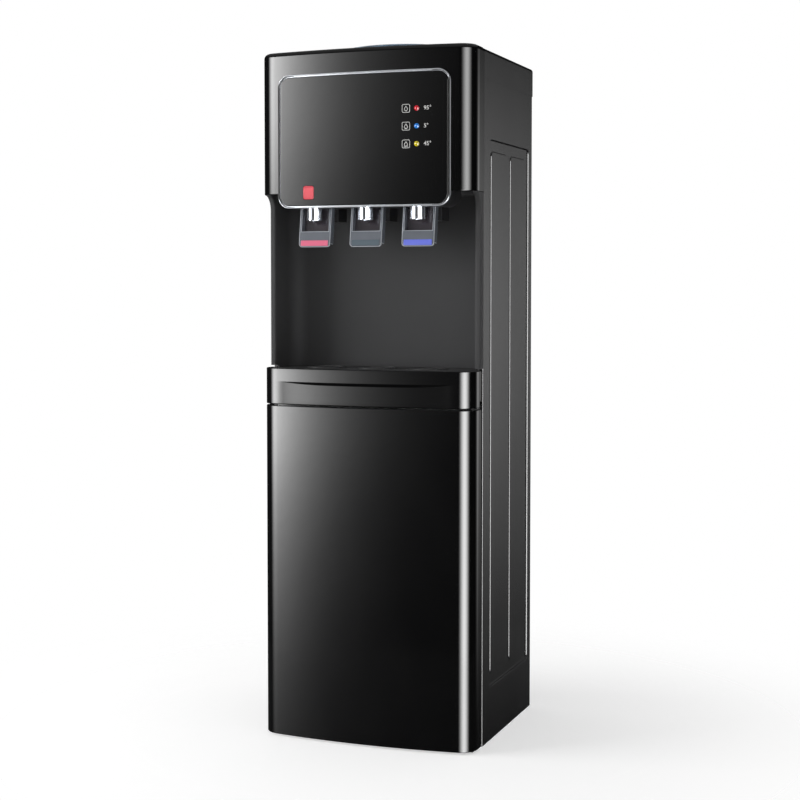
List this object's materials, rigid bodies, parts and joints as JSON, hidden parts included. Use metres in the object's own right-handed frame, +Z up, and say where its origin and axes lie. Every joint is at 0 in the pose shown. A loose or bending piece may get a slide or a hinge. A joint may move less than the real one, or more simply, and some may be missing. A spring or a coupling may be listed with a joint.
{
  "type": "floor-standing water dispenser",
  "caption": "Black floor-standing hot, warm and cold water dispenser with a bowed door, drip drawer, lever taps and a top bottle seat.",
  "frame": {"origin": "centre of the footprint at floor level, under the feet", "axes": "+Z up, front faces -Y, +X to the right seen from the front"},
  "size_m": [0.316, 0.294, 0.976],
  "materials": {
    "panel_black": "satin black powder coat on pressed sheet steel",
    "gloss_black": "high gloss black moulding",
    "satin_black": "satin black moulding",
    "panel_glass": "polished black acrylic plate",
    "chrome_trim": "bright chrome plating",
    "clear_grey": "clear smoke-grey plastic",
    "red_insert": "pink-red plastic",
    "blue_insert": "blue-violet plastic",
    "grey_insert": "pale grey-blue plastic",
    "red_button": "red translucent plastic",
    "lens": "tinted indicator lenses",
    "seat_blue": "pale blue translucent plastic",
    "liner_white": "white vacuum-formed plastic",
    "rubber_black": "black rubber",
    "stainless": "brushed stainless steel",
    "foam": "rigid insulating foam",
    "copper": "bare copper tube",
    "zinc_sheet": "galvanised sheet steel",
    "machine_black": "black enamel",
    "board_green": "circuit board",
    "silicone": "pale silicone hose",
    "red_switch": "red rocker",
    "green_switch": "green rocker"
  },
  "bodies": {
    "cabinet": {"base_pan": "zinc_sheet", "levelling_feet": "rubber_black", "left_side_panel": "panel_black", "right_side_panel": "panel_black", "back_panel": "panel_black", "back_screws": "zinc_sheet", "top_cover": "panel_black", "head_housing": "gloss_black", "bay_shell": "satin_black", "tap_box": "satin_black", "control_panel": "panel_glass", "panel_frame": "chrome_trim", "indicator_lenses": "lens", "indicator_board": "board_green", "hinge_brackets": "zinc_sheet", "storage_liner": "liner_white", "storage_shelf": "liner_white", "cold_tank": "stainless", "cold_tank_lid": "liner_white", "cold_tank_foam": "foam", "evaporator_coil": "copper", "hot_tank": "stainless", "hot_tank_foam": "foam", "thermostats": "machine_black", "tank_decks": "zinc_sheet", "compressor": "machine_black", "compressor_mounts": "rubber_black", "condenser": "machine_black", "refrigerant_lines": "copper", "water_hoses": "silicone", "drain_pipes": "stainless", "switch_bezel": "satin_black", "cable_gland": "satin_black", "hot_tap_body": "satin_black", "hot_spout": "chrome_trim", "warm_tap_body": "satin_black", "warm_spout": "chrome_trim", "cold_tap_body": "satin_black", "cold_spout": "chrome_trim"},
    "door": {"door_skin": "gloss_black", "door_liner": "liner_white", "door_gasket": "rubber_black"},
    "drip_drawer": {"drip_drawer": "gloss_black"},
    "drip_grille": {"drip_grille": "satin_black"},
    "bottle_seat": {"bottle_seat": "seat_blue", "bottle_probe": "liner_white"},
    "child_lock": {"child_lock_button": "red_button"},
    "hot_lever": {"hot_paddle": "clear_grey", "hot_paddle_insert": "red_insert"},
    "hot_valve": {"hot_valve_stem": "silicone"},
    "warm_lever": {"warm_paddle": "clear_grey", "warm_paddle_insert": "grey_insert"},
    "warm_valve": {"warm_valve_stem": "silicone"},
    "cold_lever": {"cold_paddle": "clear_grey", "cold_paddle_insert": "blue_insert"},
    "cold_valve": {"cold_valve_stem": "silicone"},
    "hot_switch": {"hot_switch": "red_switch"},
    "cold_switch": {"cold_switch": "green_switch"},
    "hot_drain_cap": {"hot_drain_cap": "red_switch"},
    "cold_drain_cap": {"cold_drain_cap": "satin_black"}
  },
  "joints": [
    {"name": "door_hinge", "type": "hinge", "parent": "cabinet", "child": "door", "pos_m": [0.145, -0.103, 0.236], "axis": [0, 0, 1], "range_deg": [0, 95]},
    {"name": "drip_drawer_slide", "type": "slide", "parent": "cabinet", "child": "drip_drawer", "axis": [0, -1, 0], "range_m": [0, 0.1]},
    {"name": "drip_grille_lift", "type": "slide", "parent": "drip_drawer", "child": "drip_grille", "axis": [0, 0, 1], "range_m": [0, 0.03]},
    {"name": "bottle_seat_lift", "type": "slide", "parent": "cabinet", "child": "bottle_seat", "axis": [0, 0, 1], "range_m": [0, 0.06]},
    {"name": "child_lock_press", "type": "slide", "parent": "cabinet", "child": "child_lock", "axis": [0, 1, 0], "range_m": [0, 0.002], "stiffness_N_per_m": 400, "springref_m": -0.0005},
    {"name": "hot_lever_press", "type": "hinge", "parent": "cabinet", "child": "hot_lever", "pos_m": [-0.0763, -0.115, 0.755], "axis": [1, 0, 0], "range_deg": [0, 12], "stiffness_Nm_per_rad": 0.6, "springref_deg": -2.86},
    {"name": "hot_valve_lift", "type": "slide", "parent": "cabinet", "child": "hot_valve", "axis": [0, 0, 1], "range_m": [0, 0.0032]},
    {"name": "warm_lever_press", "type": "hinge", "parent": "cabinet", "child": "warm_lever", "pos_m": [0, -0.115, 0.755], "axis": [1, 0, 0], "range_deg": [0, 12], "stiffness_Nm_per_rad": 0.6, "springref_deg": -2.86},
    {"name": "warm_valve_lift", "type": "slide", "parent": "cabinet", "child": "warm_valve", "axis": [0, 0, 1], "range_m": [0, 0.0032]},
    {"name": "cold_lever_press", "type": "hinge", "parent": "cabinet", "child": "cold_lever", "pos_m": [0.0763, -0.115, 0.755], "axis": [1, 0, 0], "range_deg": [0, 12], "stiffness_Nm_per_rad": 0.6, "springref_deg": -2.86},
    {"name": "cold_valve_lift", "type": "slide", "parent": "cabinet", "child": "cold_valve", "axis": [0, 0, 1], "range_m": [0, 0.0032]},
    {"name": "hot_switch_rock", "type": "hinge", "parent": "cabinet", "child": "hot_switch", "pos_m": [-0.084, 0.121, 0.845], "axis": [-1, 0, 0], "range_deg": [0, 16]},
    {"name": "cold_switch_rock", "type": "hinge", "parent": "cabinet", "child": "cold_switch", "pos_m": [-0.106, 0.121, 0.845], "axis": [-1, 0, 0], "range_deg": [0, 16]},
    {"name": "hot_drain_cap_pull", "type": "slide", "parent": "cabinet", "child": "hot_drain_cap", "axis": [0, 1, 0], "range_m": [0, 0.015]},
    {"name": "cold_drain_cap_pull", "type": "slide", "parent": "cabinet", "child": "cold_drain_cap", "axis": [0, 1, 0], "range_m": [0, 0.015]}
  ],
  "couplings": [
    {"joint": "hot_valve_lift", "follows": "hot_lever_press", "m_per_rad": 0.0143},
    {"joint": "warm_valve_lift", "follows": "warm_lever_press", "m_per_rad": 0.0143},
    {"joint": "cold_valve_lift", "follows": "cold_lever_press", "m_per_rad": 0.0143}
  ]
}
